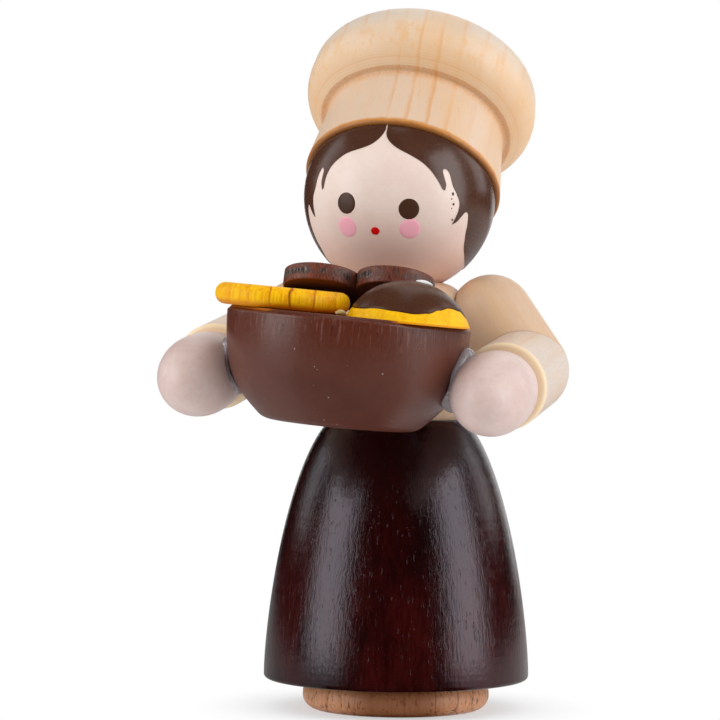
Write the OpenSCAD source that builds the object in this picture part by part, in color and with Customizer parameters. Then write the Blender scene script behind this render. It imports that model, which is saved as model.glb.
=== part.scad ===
// Turned wooden baker holding a bowl of cookies.
// The figure stands on z = 0 with the foot's axis as the z axis, and looks along -Y.
// Left and right are the figure's own: its left hand is on the +X side.

/* [Foot] */
// Diameter of the foot disc
foot_d = 16; // [14:0.1:18]
// Thickness of the foot disc
foot_h = 2.55; // [2.4:0.05:4]
// Radius turned on both edges of the foot disc
foot_edge = 1.2; // [0.4:0.05:1.2]
// Diameter of the dowel between foot and skirt
foot_dowel_d = 4; // [3:0.1:6]
// Depth of the dowel in the foot disc
foot_dowel_in_foot = 1.6; // [1:0.1:1.8]
// Depth of the dowel in the skirt
foot_dowel_in_skirt = 5; // [3:0.1:7]

/* [Skirt] */
// Diameter of the hem
hem_d = 22.74; // [20:0.02:25]
// Diameter of the skirt at the waist
waist_d = 11.8; // [11.2:0.1:13]
// Height of the skirt from hem to waist
skirt_h = 22.15; // [19:0.05:25]
// Radius on the lower edge of the hem
hem_round = 0.35; // [0.2:0.05:0.8]
// Height above the hem over which the side stays upright
hem_rise = 3.9; // [2:0.1:6]
// Length of the full curve below the waist
waist_fullness = 5.7; // [4:0.1:7]
// Angle at which the side leaves the waist, below level
waist_slope = 47.6; // [40:0.1:60]

/* [Torso] */
// Diameter of the torso where it stands on the skirt
torso_waist_d = 11; // [10:0.1:11.2]
// Diameter of the chest
chest_d = 12.4; // [11.6:0.1:13]
// Height of the torso from waist to the top of the shoulders
torso_h = 11.8; // [11:0.1:13]
// Radius of the rounded shoulders
shoulder_round = 3; // [2:0.1:3.4]
// Diameter of the tenon in the skirt
torso_tenon_d = 5; // [3:0.1:7]
// Length of the tenon in the skirt
torso_tenon_len = 5; // [3:0.1:7]

/* [Head] */
// Diameter of the ball head
head_d = 16.4; // [15:0.1:17.5]
// Diameter of the dished seat under the head
neck_seat_d = 7.6; // [6.4:0.1:8.6]
// Diameter of the neck dowel
neck_dowel_d = 3; // [2:0.1:4]
// Depth of the neck dowel in the torso, below the seat
neck_dowel_in_torso = 4; // [2:0.1:5]
// Depth of the neck dowel in the head
neck_dowel_in_head = 5; // [3:0.1:6]

/* [Hat] */
// Lean of the hat towards the back
hat_lean = 36; // [28:1:42]
// Lean of the hat towards the left hand
hat_lean_left = 2; // [-2:0.5:4]
// Height of the rim above the middle of the head, along the hat's axis
hat_rim_rise = 1.25; // [0.5:0.05:2]
// Wall of the hat at the rim
hat_wall = 0.35; // [0.25:0.05:0.6]
// Radius on the outer edge of the rim
hat_rim_round = 0.25; // [0.1:0.05:0.5]
// Height of the plain band
band_h = 5.8; // [4:0.1:7]
// How far the band draws in towards its top, on the radius
band_taper = 0.7; // [0:0.05:0.9]
// Height of the hollow between band and crown
crown_groove_h = 0.65; // [0.4:0.05:1]
// How far the crisp edge above the hollow stands out from the band
crown_lip = 0.2; // [0:0.05:0.4]
// Diameter of the puffed crown
crown_d = 20; // [18.8:0.1:22]
// Height of the crown below its widest place
crown_lower_h = 4.1; // [3.4:0.1:5]
// Length of the flare above the hollow
crown_flare = 3.5; // [2:0.1:4]
// Angle of the flare above the hollow, from level
crown_flare_angle = 30; // [20:1:50]
// Height over which the crown's side is upright below its widest place
crown_side = 0.5; // [0.3:0.1:1.5]
// Radius on the upper edge of the crown
crown_round = 2.3; // [1.8:0.1:3.5]
// Angle at which that radius passes into the flat dome on top, from level
crown_edge_angle = 80; // [70:1:86]

/* [Arms] */
// Diameter of the arms
arm_d = 7.2; // [6.6:0.1:7.6]
// Distance of the flats on the torso from its axis
shoulder_flat = 5.4; // [4.8:0.1:5.7]
// Depth of the flat on each upper arm
shoulder_flat_depth = 0.85; // [0.5:0.05:1.5]
// Height of the shoulders' middle below the top of the torso
shoulder_drop = 2.95; // [2.6:0.05:4]
// Length of the upper arm from shoulder to elbow, axis to axis
upper_arm_len = 5.7; // [4.5:0.1:6.5]
// Angle of the left upper arm, outwards from hanging straight down
left_arm_out = 37; // [30:1:60]
// Angle of the right upper arm, outwards from hanging straight down
right_arm_out = 60; // [30:1:65]
// Turn of the upper arms towards the front
upper_arm_forward = 16; // [0:1:30]
// Radius on the edge of the cuffs
cuff_round = 0.35; // [0.1:0.05:0.6]

/* [Hands] */
// Largest diameter of a hand
hand_d = 6.7; // [6.2:0.1:7.2]
// Length of a hand from cuff to finger end
hand_len = 9.6; // [8:0.1:11]
// Distance of the thickest place of a hand from the cuff
hand_thick_at = 4.2; // [3:0.1:5]
// Diameter of a hand at the cuff
wrist_d = 5.8; // [5:0.1:6]
// Diameter of the tenon on a hand
hand_tenon_d = 3; // [2:0.1:4]
// Depth of the flat on each hand where it is glued to the bowl
hand_flat_depth = 0.4; // [0.2:0.05:0.7]
// Length of the tenon on a hand
hand_tenon_len = 3.5; // [2:0.1:4]

/* [Bowl] */
// Diameter of the bowl at its rim
bowl_d = 19.7; // [17:0.1:21]
// Diameter of the bowl's base
bowl_base_d = 12.4; // [10:0.1:13]
// Height of the bowl
bowl_h = 8.65; // [7:0.05:10]
// Radius on the rim
bowl_rim_round = 0.45; // [0.2:0.05:0.8]
// Height of the bowl's nearly upright wall below the rim
bowl_wall_h = 5; // [3:0.1:6]
// Taper of the bowl's wall below the rim
bowl_taper = 1.5; // [0:0.5:6]
// Length of the round belly above the base
bowl_belly = 3.1; // [2:0.1:4]
// Angle of the round belly above the base, from level
bowl_belly_angle = 43; // [25:1:55]
// Radius on the lower edge of the base
bowl_base_round = 0.5; // [0.1:0.05:1]
// Height of the rim above the waist
bowl_rim_above_waist = 8.5; // [7.4:0.1:9.2]
// Sideways lean of the bowl, down towards the left hand
bowl_lean = 5.2; // [0:0.2:8]
// Height below the rim at which the left hand holds the bowl
left_grip_below_rim = 4.9; // [3.5:0.1:6.5]
// Height below the rim at which the right hand holds the bowl
right_grip_below_rim = 5.8; // [3.5:0.1:6.5]
// Distance of the hands' thickest place in front of the bowl's middle
grip_forward = 0; // [-1:0.1:1]

/* [Cookies] */
// Diameter of the round flat cookie
disc_d = 10.8; // [9:0.1:12]
// Thickness of the round flat cookie
disc_h = 1.75; // [1.2:0.05:2.4]
// Distance of the flat cookie to the right hand's side of the bowl's middle
disc_aside = 4.85; // [4:0.05:5.4]
// Distance of the flat cookie in front of the bowl's middle
disc_forward = 3; // [2:0.1:4]
// Diameter of the domed cookie
dome_d = 9.8; // [8.5:0.1:11]
// Height of the domed cookie
dome_h = 3.15; // [2.5:0.05:4]
// Distance of the domed cookie in front of the bowl's middle
dome_forward = 2.6; // [1.5:0.1:4]
// Width of the heart
heart_w = 12.5; // [10:0.1:13.5]
// Length of the heart from lobes to tip
heart_len = 10.6; // [9.5:0.1:11.5]
// Radius of the heart's lobes
heart_lobe = 3.17; // [3.15:0.01:3.3]
// Thickness of the heart
heart_h = 1.45; // [1:0.05:2]
// Distance of the heart's tip in front of the chest
heart_off_chest = 0.6; // [0.3:0.1:2]
// Distance of the heart's tip to the left hand's side of the bowl's middle
heart_aside = 0; // [-1:0.05:1]
// Sideways tilt of the heart in the bowl, up towards the left hand
heart_tilt = 2.8; // [0:0.2:5]

/* [Fits] */
// Glue bed under the round cookies
cookie_bed = 0.2; // [0.05:0.05:0.4]
// Glue line between pieces that are glued together
glue = 0.05; // [0.02:0.01:0.12]
// Room at the end of a dowel or tenon
end_room = 0.4; // [0.2:0.1:0.8]

/* [Hidden] */
$fn = 96;
left = 1;
right = -1;
curve_steps = 18;
round_steps = 8;
// Fine steps, to find where a hand touches the bowl's side
grip_steps = 360;

bare_wood = "BurlyWood";
pale_wood = "Wheat";
skin_paint = "PeachPuff";
skirt_stain = "#3a1512";
bowl_paint = "#5d3a30";
yellow_stain = "Goldenrod";
heart_stain = "#4a2a22";

// Heights of the seats, from the floor up
hem_z = foot_h + glue;
waist_z = hem_z + skirt_h;
torso_z = waist_z + glue;
torso_top_z = torso_z + torso_h;
shoulder_arc_z = torso_top_z - shoulder_round;
// Side of the block that stands for half of space in a straight cut
half_space_size = 2 * torso_top_z;

// The ball of the head rests on the edge of the dish in the shoulders
head_r = head_d / 2;
seat_r = neck_seat_d / 2;
seat_sphere_r = head_r + glue;
chest_r = chest_d / 2;
seat_arc_x = seat_r - (chest_r - shoulder_round);
seat_z = shoulder_arc_z + sqrt(pow(shoulder_round, 2) - pow(max(seat_arc_x, 0), 2));
head_z = seat_z + sqrt(pow(seat_sphere_r, 2) - pow(seat_r, 2));
head_at = [0, 0, head_z];
neck_bottom_z = head_z - seat_sphere_r - neck_dowel_in_torso;
neck_top_z = head_z - head_r + neck_dowel_in_head;

// Hat sizes along its own axis, from the middle of the head
rim_r = sqrt(pow(seat_sphere_r, 2) - pow(hat_rim_rise, 2)) + hat_wall;
band_top_r = rim_r - band_taper;
band_top_k = hat_rim_rise + band_h;
crown_start_k = band_top_k + crown_groove_h;
crown_wide_k = crown_start_k + crown_lower_h;
crown_r = crown_d / 2;
crown_dome_r = crown_round + (crown_r - crown_round) / cos(crown_edge_angle);
crown_dome_k = crown_wide_k - (crown_r - crown_round) * tan(crown_edge_angle);

// Bowl, in its own frame: the origin is the middle of its flat top
bowl_r = bowl_d / 2;
bowl_base_r = bowl_base_d / 2;
bowl_at = [0, -(chest_r + glue + bowl_r), waist_z + bowl_rim_above_waist];
bowl_rim_corner = [bowl_r, -bowl_rim_round];
bowl_base_middle = [bowl_base_r - bowl_base_round * tan(bowl_belly_angle / 2), bowl_base_round - bowl_h];
bowl_belly_start = bowl_base_middle + bowl_base_round * [sin(bowl_belly_angle), -cos(bowl_belly_angle)];
bowl_side = concat(
    arc(bowl_base_middle, bowl_base_round, -90, bowl_belly_angle - 90, round_steps),
    bowl_curve(curve_steps),
    arc(bowl_rim_corner - [bowl_rim_round, 0], bowl_rim_round, 0, 90, round_steps));

// Arms: middle of each shoulder, elbow and hand
arm_r = arm_d / 2;
hand_r = hand_d / 2;
grip_r = hand_r - hand_flat_depth + glue;
grip_curve = bowl_curve(grip_steps);
shoulder_x = shoulder_flat + arm_r - shoulder_flat_depth;

function unit(v) = v / norm(v);
function bezier(a, b, c, d, steps) = [for (i = [0 : steps]) let (t = i / steps, u = 1 - t)
    u * u * u * a + 3 * u * u * t * b + 3 * u * t * t * c + t * t * t * d];
function arc(middle, radius, from, to, steps) = [for (i = [0 : steps])
    let (angle = from + (to - from) * i / steps) middle + radius * [cos(angle), sin(angle)]];
function bowl_curve(steps) = bezier(
    bowl_belly_start, bowl_belly_start + bowl_belly * [cos(bowl_belly_angle), sin(bowl_belly_angle)],
    bowl_rim_corner - bowl_wall_h * [sin(bowl_taper), cos(bowl_taper)], bowl_rim_corner, steps);
function in_bowl(p) = bowl_at + [p.x * cos(bowl_lean) + p.z * sin(bowl_lean), p.y,
                                 p.z * cos(bowl_lean) - p.x * sin(bowl_lean)];
function arm_out(side) = side == left ? left_arm_out : right_arm_out;
function upper_arm_way(side) = [side * sin(arm_out(side)) * cos(upper_arm_forward),
                                -sin(arm_out(side)) * sin(upper_arm_forward), -cos(arm_out(side))];
function shoulder_at(side) = [side * shoulder_x, 0, torso_top_z - shoulder_drop];
function elbow_at(side) = shoulder_at(side) + upper_arm_len * upper_arm_way(side);
function grip_below_rim(side) = side == left ? left_grip_below_rim : right_grip_below_rim;
// How far out a round hand at this height is held by each point of the bowl's side
function grip_reach(height) = [for (p = grip_curve) abs(p.y - height) < grip_r
    ? p.x + sqrt(pow(grip_r, 2) - pow(p.y - height, 2)) : 0];
function grip_x(height) = max(grip_reach(height));
function grip_touch(height) = grip_curve[search(grip_x(height), grip_reach(height))[0]];
function hand_at(side) = in_bowl([side * grip_x(-grip_below_rim(side)), -grip_forward, -grip_below_rim(side)]);
// Way from the middle of a hand to the place where it touches the bowl
function grip_way(side) = let (height = -grip_below_rim(side), touch = grip_touch(height))
    unit(in_bowl([side * (touch.x - grip_x(height)), 0, touch.y - height]) - bowl_at);
function forearm_way(side) = unit(hand_at(side) - elbow_at(side));
function forearm_len(side) = norm(hand_at(side) - elbow_at(side)) - hand_thick_at;
function cuff_at(side) = elbow_at(side) + forearm_len(side) * forearm_way(side);
function mitre_way(side) = unit(upper_arm_way(side) + forearm_way(side));
// Slope of a board whose end rests on the bowl and whose face rests on a round of this radius
function lean_on(distance, height, radius) = atan2(height, distance) + asin(radius / norm([distance, height]));

// Heart: its tip rests on the bowl and its lobes lean on the other two cookies
disc_r = disc_d / 2;
dome_r = dome_d / 2;
dome_sphere_r = (dome_r * dome_r + dome_h * dome_h) / (2 * dome_h);
dome_aside = sqrt(pow(disc_r + dome_r + glue, 2) - pow(dome_forward - disc_forward, 2)) - disc_aside;
heart_tip_y = bowl_r - heart_off_chest;
disc_edge = disc_h / 2 - glue;
heart_rise_disc = lean_on(heart_tip_y - disc_r + disc_edge + disc_forward,
                          cookie_bed + disc_h - disc_edge + (disc_aside + heart_aside) * tan(heart_tilt),
                          disc_edge);
heart_rise_dome = lean_on(heart_tip_y + dome_forward,
                          cookie_bed + dome_h - dome_sphere_r - (dome_aside - heart_aside) * tan(heart_tilt),
                          dome_sphere_r);
heart_rise = max(heart_rise_disc, heart_rise_dome);
lobe_x = heart_w / 2 - heart_lobe;
lobe_y = heart_len - heart_lobe;
heart_side_angle = atan2(lobe_x, lobe_y) + asin(heart_lobe / norm([lobe_x, lobe_y]));
heart_cleft_angle = 180 - acos(lobe_x / heart_lobe);

module along(start, way) {
    translate(start) rotate([0, acos(way.z), atan2(way.y, way.x)]) children();
}

module half_space(start, way) {
    along(start, way) translate([-half_space_size / 2, -half_space_size / 2, 0]) cube(half_space_size);
}

module bore(diameter, bottom, top) {
    translate([0, 0, bottom]) cylinder(d = diameter + 2 * glue, h = top - bottom);
}

module foot_disc() {
    r = foot_d / 2;
    edge = min(foot_edge, foot_h / 2 - glue);
    color(bare_wood) difference() {
        rotate_extrude() polygon(concat(
            [[0, 0]],
            arc([r - edge, edge], edge, -90, 0, round_steps),
            arc([r - edge, foot_h - edge], edge, 0, 90, round_steps),
            [[0, foot_h]]));
        bore(foot_dowel_d, foot_h - foot_dowel_in_foot, foot_h + end_room);
    }
}

module foot_dowel() {
    bottom = foot_h - foot_dowel_in_foot + glue;
    color(bare_wood) translate([0, 0, bottom])
        cylinder(d = foot_dowel_d, h = hem_z + foot_dowel_in_skirt - bottom);
}

module skirt() {
    hem_r = hem_d / 2;
    waist_r = waist_d / 2;
    side_end = [waist_r, waist_z];
    side_start = [hem_r, hem_z + hem_round];
    color(skirt_stain) difference() {
        rotate_extrude() polygon(concat(
            [[0, hem_z]],
            arc([hem_r - hem_round, hem_z + hem_round], hem_round, -90, 0, round_steps),
            bezier(side_start, side_start + [0, hem_rise],
                   side_end + waist_fullness * [cos(waist_slope), -sin(waist_slope)], side_end, curve_steps),
            [[0, waist_z]]));
        bore(foot_dowel_d, hem_z - end_room, hem_z + foot_dowel_in_skirt + end_room);
        bore(torso_tenon_d, waist_z - torso_tenon_len - end_room, waist_z + end_room);
    }
}

module torso() {
    waist_r = torso_waist_d / 2;
    color(pale_wood) difference() {
        union() {
            rotate_extrude() polygon(concat(
                [[0, torso_z], [waist_r, torso_z]],
                arc([chest_r - shoulder_round, shoulder_arc_z], shoulder_round, 0, 90, 2 * round_steps),
                [[0, torso_top_z]]));
            translate([0, 0, waist_z - torso_tenon_len])
                cylinder(d = torso_tenon_d, h = torso_tenon_len + end_room);
        }
        translate(head_at) sphere(r = seat_sphere_r);
        bore(neck_dowel_d, neck_bottom_z - end_room, torso_top_z);
        for (side = [left, right])
            half_space([side * (shoulder_flat - glue / 2), 0, torso_top_z - shoulder_drop], [side, 0, 0]);
    }
}

module neck_dowel() {
    color(bare_wood) translate([0, 0, neck_bottom_z])
        cylinder(d = neck_dowel_d, h = neck_top_z - neck_bottom_z);
}

module head() {
    color(skin_paint) difference() {
        translate(head_at) sphere(r = head_r);
        bore(neck_dowel_d, head_z - head_r - end_room, neck_top_z + end_room);
    }
}

module hat() {
    wall_round = min(hat_rim_round, hat_wall - glue);
    band_top = [band_top_r, band_top_k];
    crown_start = [band_top_r + crown_lip, crown_start_k];
    hollow_corner = [band_top_r, crown_start_k];
    color(pale_wood) translate(head_at) rotate([-hat_lean, hat_lean_left, 0]) difference() {
        rotate_extrude() polygon(concat(
            [[0, hat_rim_rise]],
            arc([rim_r - wall_round, hat_rim_rise + wall_round], wall_round, -90, 0, round_steps),
            bezier(band_top, hollow_corner, hollow_corner, crown_start, round_steps),
            bezier(crown_start, crown_start + crown_flare * [cos(crown_flare_angle), sin(crown_flare_angle)],
                   [crown_r, crown_wide_k - crown_side], [crown_r, crown_wide_k], curve_steps),
            arc([crown_r - crown_round, crown_wide_k], crown_round, 0, crown_edge_angle, 2 * round_steps),
            arc([0, crown_dome_k], crown_dome_r, crown_edge_angle, 90, round_steps)));
        sphere(r = seat_sphere_r);
    }
}

// Round rod from one elbow or shoulder to the next, with round ends
module rod(start, way, length) {
    along(start, way) rotate_extrude() polygon(concat(
        arc([0, 0], arm_r, -90, 0, 2 * round_steps),
        arc([0, length], arm_r, 0, 90, 2 * round_steps)));
}

module upper_arm(side) {
    color(pale_wood) difference() {
        rod(shoulder_at(side), upper_arm_way(side), upper_arm_len);
        half_space(elbow_at(side) - glue / 2 * mitre_way(side), mitre_way(side));
        half_space([side * (shoulder_flat + glue / 2), 0, torso_top_z - shoulder_drop], [-side, 0, 0]);
    }
}

module forearm(side) {
    way = forearm_way(side);
    length = forearm_len(side);
    color(pale_wood) difference() {
        along(elbow_at(side), way) difference() {
            rotate_extrude() polygon(concat(
                arc([0, 0], arm_r, -90, 0, 2 * round_steps),
                arc([arm_r - cuff_round, length - cuff_round], cuff_round, 0, 90, round_steps),
                [[0, length]]));
            bore(hand_tenon_d, length - hand_tenon_len - end_room, length + end_room);
        }
        half_space(elbow_at(side) + glue / 2 * mitre_way(side), -mitre_way(side));
    }
}

// Egg-shaped hand: its back rises from the wrist to the thickest place, then rounds off to the finger end
module hand(side) {
    wrist_r = wrist_d / 2;
    wrist_angle = acos(wrist_r / hand_r);
    back_len = hand_thick_at / sin(wrist_angle);
    tip_len = hand_len - hand_thick_at;
    tenon_r = hand_tenon_d / 2;
    color(skin_paint) difference() {
        along(cuff_at(side), forearm_way(side)) rotate_extrude() polygon(concat(
            [[0, -hand_tenon_len], [tenon_r, -hand_tenon_len], [tenon_r, glue]],
            [for (i = [0 : round_steps]) let (angle = -wrist_angle * (1 - i / round_steps))
                [hand_r * cos(angle), max(glue, hand_thick_at + back_len * sin(angle))]],
            [for (i = [1 : 2 * round_steps]) let (angle = 90 * i / (2 * round_steps))
                [hand_r * cos(angle), hand_thick_at + tip_len * sin(angle)]]));
        half_space(hand_at(side) + (hand_r - hand_flat_depth) * grip_way(side), grip_way(side));
    }
}

module place_in_bowl() {
    translate(bowl_at) rotate([0, bowl_lean, 0]) children();
}

module bowl() {
    color(bowl_paint) place_in_bowl() rotate_extrude() polygon(concat([[0, -bowl_h]], bowl_side, [[0, 0]]));
}

module disc_cookie() {
    color(yellow_stain) place_in_bowl() translate([-disc_aside, -disc_forward, cookie_bed])
        rotate_extrude() polygon(concat(
            [[0, 0]],
            arc([disc_r - disc_edge, disc_edge], disc_edge, -90, 0, round_steps),
            arc([disc_r - disc_edge, disc_h - disc_edge], disc_edge, 0, 90, round_steps),
            [[0, disc_h]]));
}

module dome_cookie() {
    edge_angle = asin(dome_r / dome_sphere_r);
    color(yellow_stain) place_in_bowl() translate([dome_aside, -dome_forward, cookie_bed])
        rotate_extrude() polygon(concat(
            [[0, 0]],
            arc([0, dome_h - dome_sphere_r], dome_sphere_r, 90 - edge_angle, 90, 2 * round_steps)));
}

module heart_cookie() {
    lobe = arc([lobe_x, lobe_y], heart_lobe, -heart_side_angle, heart_cleft_angle, 3 * round_steps);
    other_lobe = [for (i = [len(lobe) - 2 : -1 : 0]) [-lobe[i].x, lobe[i].y]];
    color(heart_stain) place_in_bowl() translate([heart_aside, heart_tip_y, glue])
        rotate([-heart_rise, -heart_tilt, 0]) rotate(180)
        linear_extrude(height = heart_h) polygon(concat([[0, 0]], lobe, other_lobe));
}

foot_disc();
foot_dowel();
skirt();
torso();
neck_dowel();
head();
hat();
upper_arm(left);  // upper_arm_left
upper_arm(right);  // upper_arm_right
forearm(left);  // forearm_left
forearm(right);  // forearm_right
hand(left);  // hand_left
hand(right);  // hand_right
bowl();
disc_cookie();
dome_cookie();
heart_cookie();
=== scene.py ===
"""Looks of the turned wooden baker: every visible piece in its finish, on a pale studio floor.

Shapes are worked out in millimetres in the CAD's frame and scaled to metres when a piece is made.
Left and right are the figure's own: its left hand is on the +X side, and it looks along -Y.
"""
from math import acos, asin, atan2, cos, degrees, hypot, radians, sin, sqrt, tan, tau

import bmesh
import bpy
from mathutils import Euler, Matrix, Vector
from mathutils.geometry import interpolate_bezier


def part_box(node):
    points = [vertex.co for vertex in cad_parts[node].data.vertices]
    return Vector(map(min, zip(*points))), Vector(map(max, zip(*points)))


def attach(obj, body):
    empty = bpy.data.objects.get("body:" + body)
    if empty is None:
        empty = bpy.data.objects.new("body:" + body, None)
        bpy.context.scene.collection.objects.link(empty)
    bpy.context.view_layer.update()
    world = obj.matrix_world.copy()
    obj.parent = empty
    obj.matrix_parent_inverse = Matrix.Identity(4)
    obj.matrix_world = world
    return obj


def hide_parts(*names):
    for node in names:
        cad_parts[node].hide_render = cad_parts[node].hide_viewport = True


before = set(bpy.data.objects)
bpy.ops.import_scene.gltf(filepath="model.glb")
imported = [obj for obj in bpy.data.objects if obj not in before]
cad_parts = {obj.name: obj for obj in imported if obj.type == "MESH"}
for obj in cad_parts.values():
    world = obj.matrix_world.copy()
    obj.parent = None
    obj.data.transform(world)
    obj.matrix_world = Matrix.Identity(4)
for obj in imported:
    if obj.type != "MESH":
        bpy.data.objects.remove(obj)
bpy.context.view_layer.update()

MM = 0.001
UP = Vector((0, 0, 1))
HERE = Matrix.Identity(4)
TURN_STEPS = 96
CURVE_STEPS = 28
ROUND_STEPS = 10
FLOW_STEPS = 7
SWEEP_STEPS = 60
# Distance from the ends of a straight run to the points that keep it flat
HOLD = 0.07
# Width of the broken edge along a sawn joint
SEAM_SOFT = 0.07
WELD = 0.0001
# Angles between faces above which an edge stays sharp
SAWN_EDGE = 40
HAIR_EDGE = 45
TURNED_EDGE = 50
# Gap that glue fills at each joint
GLUE = 0.05
# Turn of the camera round the figure, towards its left hand
CAMERA_TURN = 15


# Outlines

def arc(middle, radius, start, end, steps=ROUND_STEPS):
    """Points on an arc, from the start angle to the end angle in degrees."""
    angles = [radians(start + (end - start) * i / steps) for i in range(steps + 1)]
    return [(middle[0] + radius * cos(a), middle[1] + radius * sin(a)) for a in angles]


def bend(start, first, second, end, steps=CURVE_STEPS):
    """Points on a curve that leaves the start towards first and reaches the end from second."""
    points = interpolate_bezier(*(Vector(p).to_3d() for p in (start, first, second, end)), steps + 1)
    return [(p.x, p.y) for p in points]


def step_from(point, distance, angle):
    """The point at this distance from another, in the direction of the angle in degrees."""
    turn = radians(angle)
    return point[0] + distance * cos(turn), point[1] + distance * sin(turn)


def rounded_disc(radius, height, edge):
    """Half outline of a disc with a rounded edge."""
    outline = [(0, 0)]
    outline += arc((radius - edge, edge), edge, -90, 0)
    outline += arc((radius - edge, height - edge), edge, 0, 90)
    return outline + [(0, height)]


def flowing(points):
    """A smooth line through all of the points."""
    knots = [Vector(p).to_3d() for p in points]
    chain = [2 * knots[0] - knots[1]] + knots + [2 * knots[-1] - knots[-2]]
    line = []
    for before, start, end, after in zip(chain, chain[1:], chain[2:], chain[3:]):
        leave = start + (end - before) / 6
        reach = end - (after - start) / 6
        line += interpolate_bezier(start, leave, reach, end, FLOW_STEPS)[:-1]
    return line + knots[-1:]


def held(profile):
    """The profile with an extra point close to both ends of each long straight run."""
    points = [Vector(profile[0])]
    for start, end in zip(profile, profile[1:]):
        run = Vector(end) - Vector(start)
        if run.length > 4 * HOLD:
            points += [Vector(start) + HOLD * run.normalized(), Vector(end) - HOLD * run.normalized()]
        points.append(Vector(end))
    return points


# Shapes

def span(node):
    """Lowest and highest corner of a CAD node, in millimetres."""
    low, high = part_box(node)
    return Vector(low) / MM, Vector(high) / MM


def along(start, way):
    """The place whose Z axis leaves the start along the way."""
    return Matrix.Translation(start) @ Vector(way).to_track_quat("Z", "Y").to_matrix().to_4x4()


def turn_by(x, y, z):
    """A turn about X, then Y, then Z, in degrees."""
    return Euler([radians(a) for a in (x, y, z)]).to_matrix().to_4x4()


def everything(bm):
    """All points, edges and faces of a shape."""
    return bm.verts[:] + bm.edges[:] + bm.faces[:]


def only(kind, elements):
    """Those elements of a shape that are of one kind."""
    return [e for e in elements if isinstance(e, kind)]


def turned(profile, steps=TURN_STEPS):
    """A shape turned about the Z axis from (radius, height) points."""
    bm = bmesh.new()
    ring = [bm.verts.new((p[0], 0, p[1])) for p in held(profile)]
    chain = [bm.edges.new(pair) for pair in zip(ring, ring[1:])]
    bmesh.ops.spin(bm, geom=ring + chain, axis=UP, cent=(0, 0, 0), angle=tau, steps=steps, use_merge=True)
    bmesh.ops.remove_doubles(bm, verts=bm.verts, dist=WELD)
    bmesh.ops.recalc_face_normals(bm, faces=bm.faces)
    return bm


def put(bm, matrix):
    """Move a shape to its place."""
    bmesh.ops.transform(bm, matrix=matrix, verts=bm.verts)
    return bm


def soften(bm, edges, width, steps):
    """Round off edges."""
    bmesh.ops.bevel(bm, geom=edges, offset=width, offset_type="OFFSET", affect="EDGES", segments=steps,
                    profile=0.5, material=-1)


def saw_off(bm, point, way, soft=SEAM_SOFT):
    """Saw off what lies beyond a plane, close the cut and break its edge."""
    made = bmesh.ops.bisect_plane(bm, geom=everything(bm), dist=WELD, plane_co=point, plane_no=way,
                                  clear_outer=True)
    rim = only(bmesh.types.BMEdge, made["geom_cut"])
    bmesh.ops.edgeloop_fill(bm, edges=rim)
    soften(bm, rim, soft, 3)
    bmesh.ops.recalc_face_normals(bm, faces=bm.faces)
    return bm


def lumpy(point):
    """A soft push for a point of dried glue."""
    x, y, z = point
    return Vector((sin(2.3 * y + 1.1 * z), sin(1.9 * z + 1.3 * x + 1.0), sin(2.1 * x + 1.7 * y + 2.0)))


def thing_from(name, bm, material):
    """An object in the scene, from a shape in millimetres."""
    bmesh.ops.scale(bm, vec=(MM, MM, MM), verts=bm.verts)
    mesh = bpy.data.meshes.new(name)
    bm.to_mesh(mesh)
    bm.free()
    mesh.materials.append(material)
    thing = bpy.data.objects.new(name, mesh)
    bpy.context.scene.collection.objects.link(thing)
    return thing


def piece(name, bm, finish, node=None, sharp=None):
    """Make a finished piece of the figure, in place of its CAD node if it has one."""
    for face in bm.faces:
        face.smooth = True
    thing = thing_from(name, bm, finish.material)
    if sharp:
        thing.data.set_sharp_from_angle(angle=radians(sharp))
    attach(thing, "root")
    if node:
        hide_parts(node)
    return thing


# Nodes

class Field:
    """A node's output; sums with it add further nodes to its tree."""

    def __init__(self, socket):
        self.socket = socket
        self.tree = socket.id_data

    def __add__(self, other):
        return maths("ADD", self, other)

    def __sub__(self, other):
        return maths("SUBTRACT", self, other)

    def __rsub__(self, other):
        return maths("SUBTRACT", other, self)

    def __mul__(self, other):
        return maths("MULTIPLY", self, other)

    def __truediv__(self, other):
        return maths("DIVIDE", self, other)

    def __rtruediv__(self, other):
        return maths("DIVIDE", other, self)


def plug(value, socket):
    """Link a field to an input, or set the input to a plain value."""
    if isinstance(value, Field):
        value.tree.links.new(value.socket, socket)
    elif isinstance(socket, bpy.types.NodeSocketColor):
        socket.default_value = (*value, 1.0)
    else:
        socket.default_value = value


def spaced(label):
    """The name of a socket, from the name of an argument."""
    return label.replace("_", " ")


def add(tree, kind, inputs=None, **settings):
    """Add a node with its settings, and its inputs by name or number."""
    node = tree.nodes.new("ShaderNode" + kind)
    for key, value in settings.items():
        setattr(node, key, value)
    for key, value in (inputs or {}).items():
        plug(value, node.inputs[key])
    return node


def field(tree, kind, inputs=None, output=0, **settings):
    """One output of a new node."""
    return Field(add(tree, kind, inputs, **settings).outputs[output])


def maths(operation, first, second=0.0, clamp=False):
    """The result of one sum, of which at least one side is a field."""
    tree = (first if isinstance(first, Field) else second).tree
    return field(tree, "Math", {0: first, 1: second}, operation=operation, use_clamp=clamp)


def vectors(operation, first, second=(0, 0, 0), output="Vector"):
    """The result of one sum with vectors."""
    return field(first.tree, "VectorMath", {0: first, 1: second}, output, operation=operation)


def stretched(vector, scale):
    """The vector with each axis times its own number."""
    return vectors("MULTIPLY", vector, scale)


def axis(vector, label):
    """One axis of a vector."""
    return field(vector.tree, "SeparateXYZ", {0: vector}, label)


def between(value, low, high, at_low=0.0, at_high=1.0):
    """A smooth step from at_low to at_high while the value goes from low to high."""
    inputs = {"Value": value, "From Min": low, "From Max": high, "To Min": at_low, "To Max": at_high}
    return field(value.tree, "MapRange", inputs, interpolation_type="SMOOTHSTEP")


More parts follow.
